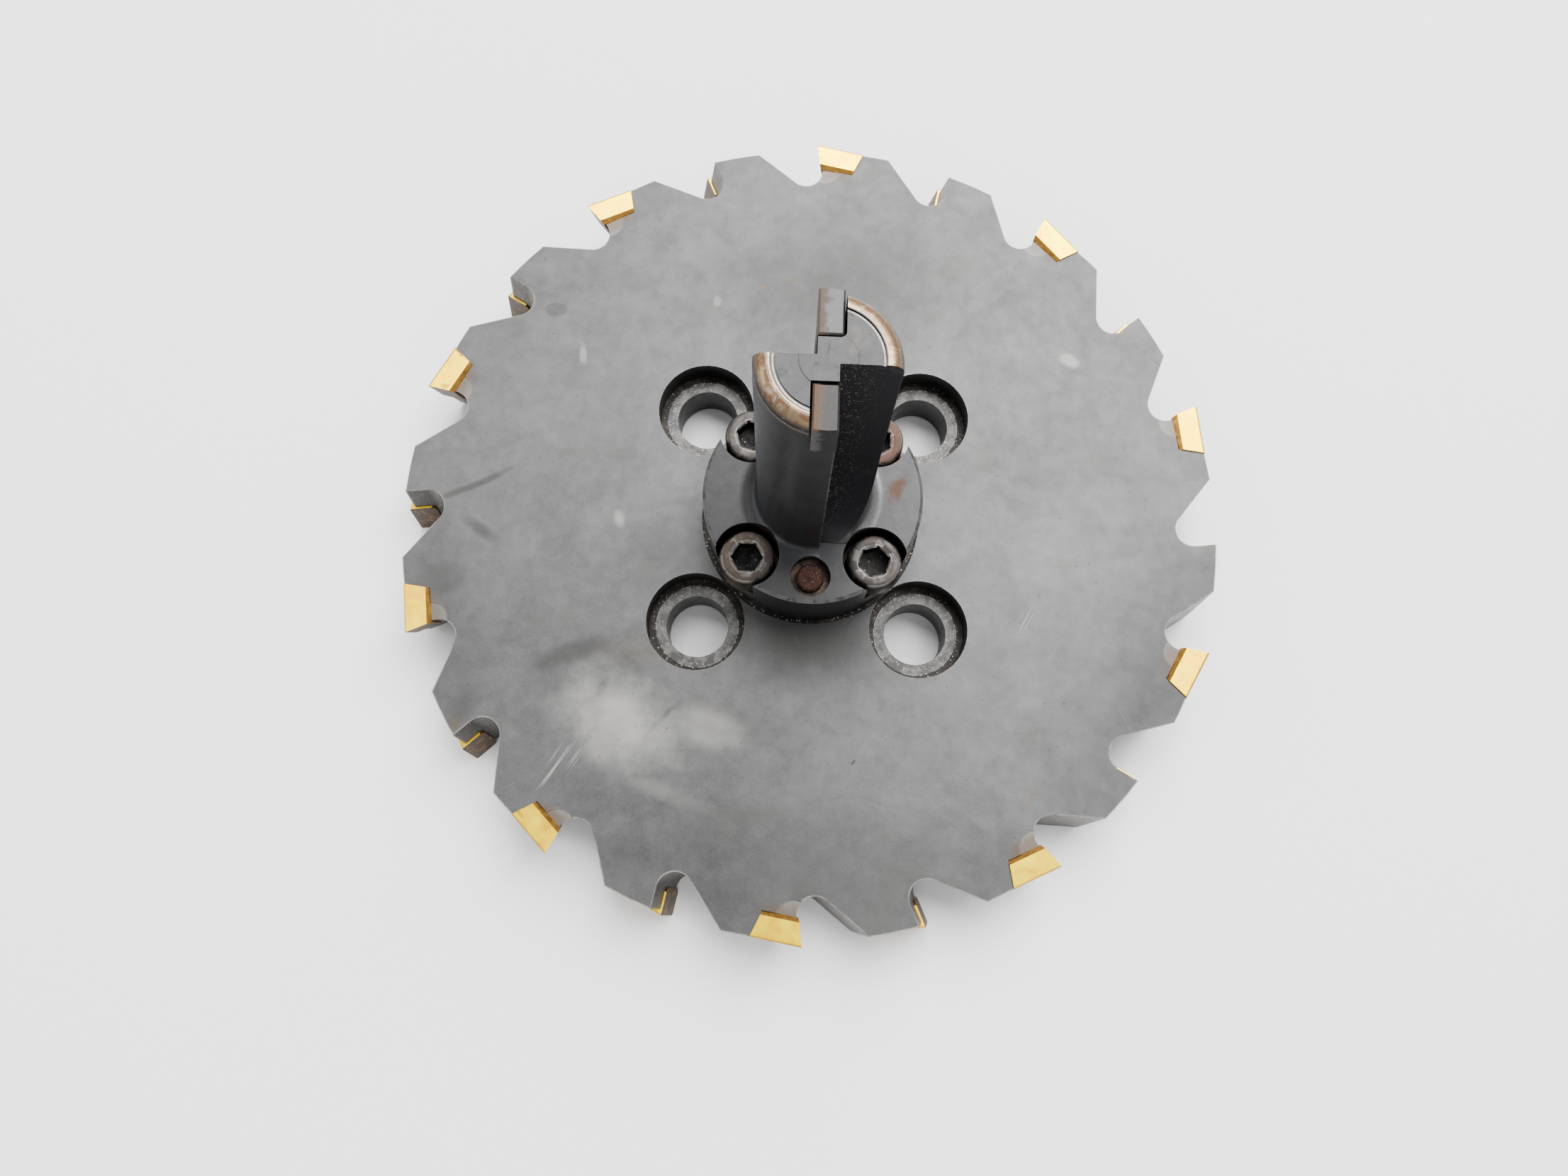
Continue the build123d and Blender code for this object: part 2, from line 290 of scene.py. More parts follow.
    def distance(self, x: float, y: float) -> Wire:
        """Distance from an upright axis through (x, y), mm."""
        return ((self.x - x) ** 2.0 + (self.y - y) ** 2.0) ** 0.5

    def smear(self, mark: "Mark", ragged: Wire) -> Wire:
        """Soft-edged ellipse where a mark lies, from 0 outside to its strength inside."""
        turn = math.radians(mark.turn)
        dx, dy = self.x - mark.x, self.y - mark.y
        along = (dx * math.cos(turn) + dy * math.sin(turn)) / (mark.length / 2)
        across = (dy * math.cos(turn) - dx * math.sin(turn)) / (mark.width / 2)
        if mark.bend:
            across = across + (along ** 2.0) * mark.bend
        reach = (along ** 2.0 + across ** 2.0) ** 0.5 + (ragged - 0.5) * mark.ragged
        return reach.step(1.0, 1.0 - mark.soft) * mark.strength

    def smears(self, marks: Sequence["Mark"], ragged: Wire) -> Wire:
        """The strongest of several marks at each place."""
        together = self.smear(marks[0], ragged)
        for mark in marks[1:]:
            together = together.either(self.smear(mark, ragged))
        return together

    def finish(
        self, colour: Any, rough: Any, metal: Any, bump: Wire | None = None, depth: float = 0.02
    ) -> bpy.types.Material:
        """Connect the shader and return the material.

        Args:
            colour: base colour.
            rough: roughness.
            metal: how metallic.
            bump: height of the fine relief, 0 to 1.
            depth: height of that relief, mm.

        Returns:
            The finished material.
        """
        for name, value in {"Base Color": colour, "Roughness": rough, "Metallic": metal}.items():
            if isinstance(value, Wire):
                self.tree.links.new(value.socket, self.shader.inputs[name])
            else:
                self.shader.inputs[name].default_value = value
        if bump is not None:
            relief = self.make(
                "ShaderNodeBump", {}, {"Height": bump, "Strength": 1.0, "Distance": depth * MM}
            )
            self.tree.links.new(relief.socket, self.shader.inputs["Normal"])
        return self.material


# ---------------------------------------------------------------------------------------------- finishes


@dataclass(frozen=True)
class Mark:
    """A soft mark on a face: an ellipse in the plane of the disc, in millimetres and degrees.

    It fades over the share soft of its reach, noise frays it by the share ragged, and bend curves it.
    """

    x: float
    y: float
    length: float
    width: float
    turn: float = 0.0
    strength: float = 1.0
    soft: float = 0.6
    ragged: float = 0.8
    bend: float = 0.0


@dataclass(frozen=True)
class Tooth:
    """Where an upper tooth's leading tip and its insert's inner corner lie, in degrees and mm."""

    lead_angle: float = 90.65
    pitch: float = 36.0
    tip_radius: float = 76.2
    insert_thickness: float = 4.76
    spot_behind: float = 1.6
    spot_radius: float = 3.0


@dataclass(frozen=True)
class DiscSteel:
    """Hardened disc: satin grey side faces with handling marks and a painted shadow in front of the flange,
    oily dark walls with grit painted as glints, bright worn edges partly painted as a highlight, holes
    painted near-black as shade.
    """

    face: Colour = (0.0765, 0.0765, 0.0765)
    wall: Colour = (0.016, 0.0145, 0.013)
    # edge: rubbed bright edges, partly a painted edge highlight
    edge: Colour = (0.34, 0.33, 0.31)
    seat: Colour = (0.034, 0.033, 0.032)
    heat: Colour = (0.080, 0.052, 0.031)
    pale: Colour = (0.25, 0.245, 0.228)
    smudge: Colour = (0.030, 0.030, 0.029)
    # smudge: colour of the dark marks, both smudges and the painted shadow in front of the flange
    tarnish: Colour = (0.098, 0.070, 0.036)
    oil: Colour = (0.058, 0.056, 0.050)
    pit: Colour = (0.045, 0.042, 0.038)
    milled: Colour = (0.19, 0.183, 0.165)
    grime: Colour = (0.050, 0.043, 0.035)
    land: Colour = (0.095, 0.092, 0.088)
    # grit: bright specks painted as glints
    grit: Colour = (0.42, 0.41, 0.38)
    worn_seat: Colour = (0.095, 0.092, 0.086)
    gum: Colour = (0.010, 0.009, 0.008)
    thin_gum: Colour = (0.038, 0.032, 0.026)
    oil_drop_glint: Colour = (0.5, 0.49, 0.46)
    # colour of the painted glints in the recess round the flange
    register_glint: Colour = (0.55, 0.53, 0.5)
    # bore: painted shade, near-black on the walls inside the counterbores and holes
    bore: Colour = (0.006, 0.006, 0.006)
    light_marks: tuple[Mark, ...] = (
        Mark(-33.0, -38.5, 32.0, 20.0, -28.0, 0.88, 0.95, 0.9),
        Mark(-36.0, -43.0, 14.0, 9.0, -60.0, 0.55, 0.8, 0.8),
        Mark(-17.0, -39.5, 17.0, 11.0, -12.0, 0.42, 0.7, 0.6),
        Mark(-25.0, -50.5, 24.0, 5.0, -17.0, 0.22, 1.0, 0.9),
        Mark(-44.2, 30.7, 5.6, 1.9, -83.0, 0.42, 0.6, 1.0),
        Mark(-35.3, -1.4, 4.6, 2.6, -70.0, 0.42, 0.7, 1.2),
        Mark(48.5, 32.8, 5.0, 3.4, -25.0, 0.40, 0.7, 1.1),
        Mark(-19.2, 42.4, 2.8, 2.0, 90.0, 0.36, 0.6, 0.9),
        Mark(-20.6, 11.9, 2.2, 0.8, 40.0, 0.9, 0.3, 0.5),
        Mark(45.0, -6.0, 34.0, 26.0, 70.0, 0.08, 1.0, 0.9),
    )
    dark_marks: tuple[Mark, ...] = (
        Mark(-42.0, -26.6, 23.0, 6.0, 22.0, 0.75, 0.8, 0.7, 0.25),
        Mark(-25.5, -38.2, 13.0, 1.5, 48.0, 0.75, 0.8, 0.4, 0.8),
        Mark(-36.2, -33.0, 5.6, 2.3, 70.0, 0.75, 0.5, 0.5),
        Mark(-37.9, -41.6, 8.0, 1.6, 66.0, 0.70, 0.6, 0.6),
        Mark(-35.8, -45.1, 1.0, 0.4, -50.0, 1.0, 0.3, 0.2),
        Mark(-60.5, -4.5, 13.0, 3.6, -32.0, 0.7, 0.8, 0.9),
        Mark(-66.5, -14.0, 15.0, 11.0, 20.0, 0.62, 0.8, 0.9),
        Mark(-62.0, 4.0, 20.0, 2.0, 26.0, 0.75, 0.7, 0.8, -0.9),
        Mark(-61.0, -37.0, 16.0, 9.0, 60.0, 0.6, 0.9, 0.9),
        Mark(-50.0, 39.5, 4.8, 3.0, 0.0, 0.42, 0.15, 0.3),
        Mark(36.0, 16.0, 22.0, 7.0, -30.0, 0.18, 0.9, 0.9),
        Mark(9.0, -44.5, 1.3, 0.5, 55.0, 0.9, 0.3, 0.3),
        Mark(-28.0, -8.0, 16.0, 7.0, -20.0, 0.22, 0.9, 0.9),
        # painted shadow: soft dark halo on the face in front of the flange
        Mark(0.0, -22.5, 50.0, 26.0, 0.0, 1.0, 0.9, 0.4),
        Mark(-15.0, -8.0, 46.0, 34.0, 25.0, 0.30, 0.9, 0.6),
        Mark(0.0, -66.0, 120.0, 40.0, 0.0, 0.45, 1.0, 0.6),
        Mark(-66.0, -24.0, 60.0, 26.0, 100.0, 0.35, 1.0, 0.6),
        Mark(62.0, -30.0, 76.0, 34.0, 65.0, 0.42, 1.0, 0.6),
        Mark(4.0, 46.0, 62.0, 46.0, 10.0, 0.55, 1.0, 0.6),
    )
    brown_marks: tuple[Mark, ...] = (
        Mark(-61.5, -41.5, 10.0, 4.5, -55.0, 0.55, 0.9, 0.9),
        Mark(39.7, -49.9, 9.0, 2.6, 62.0, 0.28, 0.9, 0.5),
        Mark(-10.5, 45.8, 1.4, 1.1, 0.0, 1.0, 0.5, 0.4),
        Mark(-5.5, 47.4, 3.2, 2.2, 20.0, 0.5, 0.8, 0.6),
        Mark(-29.0, -26.0, 22.0, 9.0, 0.0, 0.18, 0.9, 0.9),
    )

    swept: Mark = Mark(-42.0, -46.5, 19.0, 6.0, 57.0, 1.0, 0.6, 0.7)
    rubbed: Mark = Mark(39.9, -18.8, 9.0, 7.0, 60.0, 1.0, 0.6, 0.6)

    def material(self, hub: "Hub", tooth: Tooth) -> bpy.types.Material:
        """Build the finish.

        Args:
            hub: heights of the faces and the places of the holes.
            tooth: where the inserts stand, for the heat stains beside them.

        Returns:
            The material of the disc.
        """
        g = Graph("disc_steel")
        radius = g.distance(0.0, 0.0)
        flat = g.level.step(0.86, 0.97)
        top = flat * g.z.step(hub.top - 0.3, hub.top - 0.22)
        ragged = g.noise(5.0, 4.0, 0.6)

        # Side faces: clouds, blotches, grain
        clouds = g.noise(34.0, 3.0, 0.55, warp=0.6)
        blotch = g.noise(7.0, 4.0, 0.62, warp=0.4, shift=31.0)
        grain = g.noise(0.42, 3.0, 0.75, shift=7.0)
        mottle = g.noise(2.2, 3.0, 0.65, shift=90.0)
        shade = 1.0 + (clouds - 0.5) * 0.85 + (blotch - 0.5) * 0.8 + (mottle - 0.5) * 0.5
        shade = shade + (grain - 0.5) * 0.55
        colour = g.tint(self.face, shade)

        light = g.smears(self.light_marks, ragged)
        sweep = g.scratches(0.42, 40.0, 57.0, 0.55, 3.0) * g.smear(self.swept, ragged)
        rubs = g.scratches(0.5, 26.0, 62.0, 0.4, 9.0) * g.smear(self.rubbed, ragged) * 0.6
        fine = g.scratches(0.22, 60.0, 24.0, 0.18, 5.0).either(g.scratches(0.25, 50.0, 118.0, 0.16, 15.0))
        light = light.either(sweep).either(rubs).either(fine * 0.22) * top
        dark = g.smears(self.dark_marks, ragged)
        brown = g.smears(self.brown_marks, ragged)
        # Dark marks: smudges, and the painted shadow in front of the flange
        colour = g.mix(dark * top * 0.85, colour, self.smudge)
        colour = g.mix(light * 0.85, colour, self.pale)
        colour = g.mix(brown * top * 0.7, colour, self.tarnish)
        oil = g.noise(16.0, 3.0, 0.6, warp=1.2, shift=70.0).step(0.55, 0.75)
        colour = g.mix(oil * 0.30, colour, self.oil)
        colour = g.mix(g.specks(0.7, 0.03, 44.0) * 0.6, colour, self.pit)

        # Beside each insert: a pale milled spot and brown heat stains
        spot, heat = self.beside_inserts(g, tooth, radius, ragged)
        colour = g.mix(spot * top * 0.60, colour, self.milled)
        colour = g.mix(heat * top * 0.62, colour, self.heat)

        # Walls of gullets and holes: dark, oily, with bright grit specks painted as glints
        tone = g.noise(2.4, 4.0, 0.7, shift=12.0)
        wall = g.mix(tone.step(0.35, 0.7), self.wall, self.grime)
        wall = g.mix(radius.step(hub.rim - 0.5, hub.rim - 0.2) * 0.6, wall, self.land)
        glints = g.specks(0.35, 0.075, 23.0)
        wall = g.mix(glints * 0.6, wall, self.grit)
        colour = g.mix(1.0 - flat, colour, wall)

        # Counterbores, and the recess round the flange
        hole = ((abs(g.x) - hub.hole_offset) ** 2.0 + (abs(g.y) - hub.hole_offset) ** 2.0) ** 0.5
        in_hole = hole.step(hub.head_radius + 0.12, hub.head_radius + 0.02)
        sunk = in_hole * g.z.step(hub.top - 0.35, hub.top - 0.6)
        gum = g.mix(tone.step(0.45, 0.7), self.gum, self.thin_gum)
        colour = g.mix(sunk * flat, colour, self.counterbore_floor(g, hub, hole, ragged, tone, glints, gum))
        # Recess round the flange: dark gum with painted shade in the narrow gap, and bright specks painted
        # as glints
        register = radius.step(hub.register + 0.05, hub.register - 0.02)
        register = register * g.z.step(hub.top - 0.2, hub.top - 0.4)
        colour = g.mix(register, colour, g.mix(glints * 0.7, gum, self.register_glint))

        # Broken edges rubbed bright, partly a painted edge highlight
        slant = g.level.step(0.45, 0.60) * g.level.step(0.92, 0.80)
        worn = slant * (0.35 + g.noise(1.6, 4.0, 0.7, shift=50.0).step(0.30, 0.62) * 0.65)
        colour = g.mix(worn, colour, self.edge)
        # Painted shade: walls inside the counterbores and holes near-black
        colour = g.mix(in_hole * (1.0 - flat) * 0.9, colour, self.bore)
        sunk_floor = flat * in_hole.either(register)

        face_rough = 0.50 + (clouds - 0.5) * 0.12 + (grain - 0.5) * 0.16 - light * 0.05 + dark * top * 0.06
        rough = g.mixed(flat, 0.42 + (tone - 0.5) * 0.4, face_rough)
        rough = g.mixed(sunk_floor, rough, 0.45 + (tone - 0.5) * 0.5)
        metal = g.mixed(flat, 0.55, 0.82)
        metal = g.mixed(worn, metal, 1.0)
        relief = grain * 0.35 + blotch * 0.2 + tone * (1.0 - flat) * 1.6 + spot * 0.2
        log.info("disc steel: %d light marks, %d dark marks", len(self.light_marks), len(self.dark_marks))
        return g.finish(colour, rough, metal, relief, 0.030)

    def counterbore_floor(
        self, g: Graph, hub: "Hub", hole: Wire, ragged: Wire, tone: Wire, glints: Wire, gum: Wire
    ) -> Wire:
        """Colour of a counterbore's floor: gummed outside, a bright lip, a worn seat ring inside; the
        bright lip and the oil drops are painted glints.

        Args:
            g: the graph of the disc.
            hub: radius of the worn seat.
            hole: distance from the nearest hole's axis, mm.
            ragged: noise that frays the seat.
            tone: noise that shades it.
            glints: bright grit specks, painted glints.
            gum: colour of the dried oil.

        Returns:
            The colour.
        """
        seat = hole.step(hub.seat_radius + 0.45, hub.seat_radius) + (ragged - 0.5) * 0.5
        lip = abs(seat - 0.48).step(0.14, 0.03) * glints.either(tone.step(0.45, 0.6))
        steel = g.mix(tone.step(0.42, 0.62), self.seat, self.worn_seat)
        floor = g.mix(seat.step(0.45, 0.62), gum, steel)
        # painted glints: bright oil drops and the bright lip
        return g.mix((glints * 0.45).either(lip * 0.7), floor, self.oil_drop_glint)

    @staticmethod
    def beside_inserts(g: Graph, tooth: Tooth, radius: Wire, ragged: Wire) -> tuple[Wire, Wire]:
        """Masks on the upper face next to the upper inserts.

        Args:
            g: the graph of the disc.
            tooth: where the inserts stand.
            radius: distance from the axis, mm.
            ragged: noise that frays the edges of the masks.

        Returns:
            The pale spot and the brown stain.
        """
        angle = g.y.math("ARCTAN2", g.x) * (0.5 * FULL_TURN / math.pi)
        turns = (tooth.lead_angle + 1.5 * FULL_TURN - angle) / tooth.pitch
        step = turns.math("ROUND")
        local = (turns - step) * math.radians(tooth.pitch)
        back = radius * local.math("SINE")
        out = radius * local.math("COSINE") - (tooth.tip_radius - tooth.insert_thickness)
        chance = g.make("ShaderNodeTexWhiteNoise", {"noise_dimensions": "1D"}, {"W": step * 0.37})
        spot = ((back - tooth.spot_behind) ** 2.0 + out ** 2.0) ** 0.5 + (ragged - 0.5) * 0.4
        spot = spot.step(tooth.spot_radius + 0.25, tooth.spot_radius - 0.2)
        spread = (((back - 3.2) / 5.6) ** 2.0 + ((out + 0.5) / 2.9) ** 2.0) ** 0.5 + (ragged - 0.5) * 1.5
        heat = spread.step(1.0, 0.25) * (0.30 + chance * 0.85)
        return spot * (0.55 + 0.45 * chance), heat


@dataclass(frozen=True)
class NitrideGold:
    """Gold titanium nitride over ground carbide, darker amber on the flanks and dirty on the leading face.
    """

    gold: Colour = (0.84, 0.48, 0.0)
    pale: Colour = (0.90, 0.66, 0.0)
    amber: Colour = (0.33, 0.15, 0.028)
    dirt: Colour = (0.055, 0.038, 0.026)
    burnt: Colour = (0.13, 0.052, 0.02)
    straw: Colour = (0.62, 0.33, 0.07)
    speck: Colour = (0.30, 0.15, 0.05)
    film: Colour = (0.50, 0.27, 0.08)
    stains: tuple[Mark, ...] = (
        Mark(-66.2, 30.2, 3.0, 5.5, 66.0, 0.95, 0.45, 1.5),
        Mark(-69.6, 22.8, 1.6, 2.4, 66.0, 0.6, 0.6, 1.2),
        Mark(-46.8, 58.6, 2.4, 2.8, 40.0, 0.55, 0.6, 1.4),
        Mark(-75.0, -6.6, 1.4, 4.2, 90.0, 0.45, 0.8, 1.2),
        Mark(-49.5, -55.0, 5.0, 1.1, -45.0, 0.45, 0.7, 1.4),
        Mark(3.5, -75.4, 6.0, 1.0, 5.0, 0.5, 0.7, 1.4),
        Mark(67.6, 30.4, 1.2, 3.0, -65.0, 0.5, 0.6, 1.4),
        Mark(72.6, -17.4, 2.0, 2.2, 0.0, 0.4, 0.7, 1.4),
    )

    def material(self) -> bpy.types.Material:
        """Build the finish of all the inserts; their places make each one different."""
        g = Graph("coated_carbide_gold")
        soft = g.noise(3.4, 3.0, 0.6, warp=0.5)
        grain = g.noise(0.30, 2.0, 0.7, shift=5.0)
        stain = g.noise(1.5, 4.0, 0.7, warp=0.8, shift=11.0)
        end = g.level.step(0.80, 0.95)
        colour = g.mix(soft.step(0.32, 0.68), self.gold, self.pale)
        # Flanks: darker amber than the end faces
        flank = g.mix(stain.step(0.30, 0.70), self.amber, self.straw)
        colour = g.mix(1.0 - end, colour, flank)

        # Leading face: burnt and caked with residue
        ahead = (g.facing[1] * g.x - g.facing[0] * g.y) / g.distance(0.0, 0.0)
        rake = ahead.step(0.70, 0.90)
        colour = g.mix(rake * stain.step(0.22, 0.5), colour, self.dirt)

        # Brown specks, a thin film and the chipped or burnt corners
        specks = g.specks(0.55, 0.035, 3.0)
        colour = g.mix(specks * 0.75, colour, self.speck)
        colour = g.mix(stain.step(0.58, 0.78) * 0.35, colour, self.film)
        for mark in self.stains:
            colour = g.mix(g.smear(mark, stain), colour, self.burnt)
        rough = 0.34 + (soft - 0.5) * 0.16 + specks * 0.25 + rake * 0.2
        metal = 0.92 - rake * 0.5 - specks * 0.4
        return g.finish(colour, rough, metal, grain * 0.5 + soft * 0.5, 0.010)


@dataclass(frozen=True)
class StemSteel:
    """Stem and flange: dark satin flanks with a painted highlight on the left, a paler flange top with
    painted light on the right and painted shade in front of the stem, black dusty jaw walls, a browned rim
    with painted glints.
    """

    flank: Colour = (0.040, 0.041, 0.044)
    flange: Colour = (0.0315, 0.0312, 0.0320)
    end: Colour = (0.0310, 0.0306, 0.0306)
    wall: Colour = (0.0115, 0.0115, 0.0140)
    rust: Colour = (0.125, 0.066, 0.032)
    # bright: painted highlights on the turned rings and painted glints on the rim
    bright: Colour = (0.30, 0.29, 0.27)
    rubbed: Colour = (0.12, 0.118, 0.115)
    spilt: Colour = (0.034, 0.0165, 0.0095)
    # colour of the painted shadow on the flange top in front of the stem
    front_shadow_grey: Colour = (0.028, 0.029, 0.032)
    blotch: Colour = (0.050, 0.040, 0.033)
    cream: Colour = (0.27, 0.20, 0.115)
    scale: Colour = (0.055, 0.036, 0.030)
    line: Colour = (0.010, 0.009, 0.009)
    dust: Colour = (0.27, 0.24, 0.20)
    streak: Colour = (0.05, 0.042, 0.036)
    gum: Colour = (0.016, 0.014, 0.012)
    rusty_gum: Colour = (0.07, 0.052, 0.038)
    chamfer: Colour = (0.14, 0.14, 0.14)
    edge: Colour = (0.25, 0.24, 0.225)
    spills: tuple[Mark, ...] = (
        Mark(14.4, 1.6, 7.0, 3.6, 70.0, 0.85, 0.8, 1.2),
        Mark(-12.5, 7.0, 5.0, 3.0, 20.0, 0.35, 0.8, 1.2),
    )
    # painted shadow on the flange top in front of the stem
    front_shadow: Mark = Mark(-2.0, -9.5, 19.0, 12.0, 0.0, 0.75, 0.9, 0.6)

    def material(self, stem: "StemSizes") -> bpy.types.Material:
        """Build the finish.

        Args:
            stem: heights and radii of the stem.

        Returns:
            The material of the stem and flange.
        """
        g = Graph("stem_steel")
        radius = g.distance(0.0, 0.0)
        grain = g.noise(0.38, 3.0, 0.7, shift=3.0)
        cloud = g.noise(9.0, 4.0, 0.6, warp=0.6, shift=14.0)
        stain = g.noise(2.6, 4.0, 0.7, warp=0.9, shift=25.0)
        turning = g.noise(0.22, 1.0, 0.5, stretch=(90.0, 90.0, 1.0), shift=8.0)

        # painted highlight: the flank lighter towards its left edge
        shade = 1.0 + (cloud - 0.5) * 0.7 + (turning - 0.5) * 0.35 + g.x.step(-4.0, -9.0) * 0.7
        colour = g.tint(self.flank, shade)
        rubs = g.scratches(0.35, 22.0, 80.0, 0.20, 6.0)
        colour = g.mix(rubs * 0.30, colour, self.rubbed)
        foot = g.z.step(stem.flange_top + 4.6, stem.flange_top + 0.4)
        # painted shade: on the front left the fillet keeps the dark flank colour
        shaded_front_left = g.x.step(7.0, -1.0).both(g.y.step(4.0, -2.0))
        on_flange = foot * (1.0 - shaded_front_left * g.z.step(stem.flange_top + 0.35, stem.flange_top + 1.4))
        on_flange = on_flange * g.z.step(stem.flange_top - 0.6, stem.flange_top - 0.3)
        mottle_and_light = 1.0 + (cloud - 0.5) * 0.9 + (stain - 0.5) * 0.7 + (grain - 0.5) * 0.6
        # painted light: the fillet on the right of the stem and the flange towards +X made lighter
        lit = g.x.step(-3.0, 5.0) * g.z.step(stem.flange_top + 0.02, stem.flange_top + 0.25)
        mottle_and_light = mottle_and_light * (1.0 + g.x * 0.014) * (1.0 + lit * 3.6)
        colour = g.mix(on_flange, colour, g.tint(self.flange, mottle_and_light))
        colour = g.mix(g.smears(self.spills, stain) * on_flange, colour, self.spilt)
        # painted shadow: darker flange top in front of the stem
        colour = g.mix(g.smear(self.front_shadow, stain) * on_flange, colour, self.front_shadow_grey)

        # End face
        on_end = g.z.step(stem.end - 2.6, stem.end - 2.3)
        on_end = on_end * radius.step(stem.radius + 0.2, stem.radius + 0.1)
        end, rim, rings = self.end_face(g, stem, radius, grain, stain)
        colour = g.mix(on_end * g.level.step(0.05, 0.25), colour, end)

        # Jaw walls: black, dusted near their inner corner
        inner = radius.step(stem.radius - 0.04, stem.radius - 0.12)
        inner = inner * g.z.step(stem.flange_top + 0.02, stem.flange_top + 0.3)
        walls = inner * g.level.step(0.75, 0.35)
        dust = g.specks(0.28, 0.10, 33.0) * radius.step(9.0, 2.0)
        wall = g.mix(dust * 0.75, self.wall, self.dust)
        wall = g.mix(stain.step(0.55, 0.75) * 0.35, wall, self.streak)
        colour = g.mix(walls, colour, wall)

        # Counterbore walls and undersides in the flange
        low = g.z.step(stem.flange_top - 0.7, stem.flange_top - 1.1)
        low = low * radius.step(stem.flange_radius - 0.02, stem.flange_radius - 0.1)
        colour = g.mix(low, colour, g.mix(stain.step(0.4, 0.7), self.gum, self.rusty_gum))

        # Turned chamfers and jaw edges rubbed bright, partly a painted edge highlight
        slant = g.level.step(0.50, 0.62) * g.level.step(0.86, 0.78)
        edge = slant * g.z.step(stem.flange_top + 0.3, stem.flange_top + 0.1)
        colour = g.mix(edge * stain.step(0.30, 0.55) * 0.6, colour, self.chamfer)
        side = abs(abs(g.x) - stem.jaw_side).step(0.26, 0.10)
        side = side * abs(radius - stem.radius).step(0.10, 0.04)
        worn = side * (g.x * g.y).step(-2.0, -3.0) * stain.step(0.35, 0.6)
        colour = g.mix(worn * 0.7, colour, self.edge)

        rough = 0.36 + (cloud - 0.5) * 0.16 + (grain - 0.5) * 0.12 + walls * 0.25 + on_flange * 0.08
        rough = rough - on_end * rings * 0.15 + low * 0.1
        metal = 0.92 - on_end * rim * stain.step(0.4, 0.6) * 0.35
        relief = grain * 0.3 + turning * 0.25 + stain * walls * 0.6 + stain * on_end * rim * 0.8
        return g.finish(colour, rough, metal, relief, 0.030)

    def end_face(
        self, g: Graph, stem: "StemSizes", radius: Wire, grain: Wire, stain: Wire
    ) -> tuple[Wire, Wire, Wire]:
        """The end face: smudged grey inside, turned rings with painted highlights, a browned rim with
        polished spots painted as glints.

        Args:
            g: the graph of the stem.
            stem: radii of the groove and the boss.
            radius: distance from the axis, mm.
            grain: fine noise.
            stain: coarser noise.

        Returns:
            The colour, the mask of the rim and the mask of the rings.
        """
        smudge = g.noise(1.5, 3.0, 0.6, warp=0.6, shift=47.0).step(0.58, 0.68)
        end = g.tint(self.end, 1.0 + (stain - 0.5) * 0.7 + (grain - 0.5) * 0.5 - smudge * 0.3)
        end = g.mix(stain.step(0.56, 0.72) * 0.5, end, self.blotch)
        rim = radius.step(stem.rim, stem.rim_full)
        brown = g.mix(stain.step(0.36, 0.55), self.cream, self.rust)
        brown = g.mix(radius.step(stem.scale, stem.scale_full) * 0.75, brown, self.scale)
        # polished spots on the rim, painted bright as glints
        polished = g.noise(1.7, 3.0, 0.6, warp=0.8, shift=81.0).step(0.58, 0.68)
        end = g.mix(rim, end, g.mix(polished * 0.6, brown, self.bright))
        # turned rings, painted bright as highlights
        rings = self.ring(radius, stem.groove, 0.15) * 0.45
        rings = rings.either(self.ring(radius, stem.groove + 0.50, 0.09) * 0.8)
        rings = rings.either(self.ring(radius, stem.groove + 0.80, 0.06) * 0.6)
        rings = rings * (0.35 + stain.step(0.3, 0.6) * 0.65)
        end = g.mix(rings, end, self.bright)
        return g.mix(self.ring(radius, stem.boss, 0.07) * 0.6, end, self.line), rim, rings

    @staticmethod
    def ring(radius: Wire, middle: float, half: float) -> Wire:
        """A turned ring: 1 at its middle radius, 0 beyond its half width, mm."""
        return abs(radius - middle).step(half, half * 0.45)


@dataclass(frozen=True)
class KeySteel:
    """Ground key: pale grey with rust creeping in from one side."""

    steel: Colour
    rusted: float
    rust: Colour = (0.070, 0.038, 0.019)
    side: Colour = (0.036, 0.036, 0.038)

    def material(self, name: str, side_x: float, reach: float) -> bpy.types.Material:
        """Build the finish.

        Args:
            name: the material's name.
            side_x: X of the side that rust creeps in from, mm.
            reach: how far it creeps, mm.

        Returns:
            The material.
        """
        g = Graph(name)
        grain = g.noise(0.32, 3.0, 0.7, shift=side_x)
        stain = g.noise(1.1, 4.0, 0.7, warp=0.8, shift=9.0 + side_x)
        colour = g.tint(self.steel, 1.0 + (grain - 0.5) * 0.35 + (stain - 0.5) * 0.3)
        creep = (abs(g.x - side_x) / reach + (stain - 0.5) * 1.8).step(1.0, 0.25)
        flecks = g.specks(0.5, 0.06, 17.0 + side_x)
        colour = g.mix(creep.either(flecks) * (0.45 + self.rusted), colour, self.rust)
        low = g.level.step(0.8, 0.3)
        colour = g.mix(low * 0.8, colour, self.side)
        rough = 0.38 + creep * 0.3 + (grain - 0.5) * 0.15
        return g.finish(colour, rough, 0.9 - creep * 0.6, grain * 0.3 + creep * 0.7, 0.02)


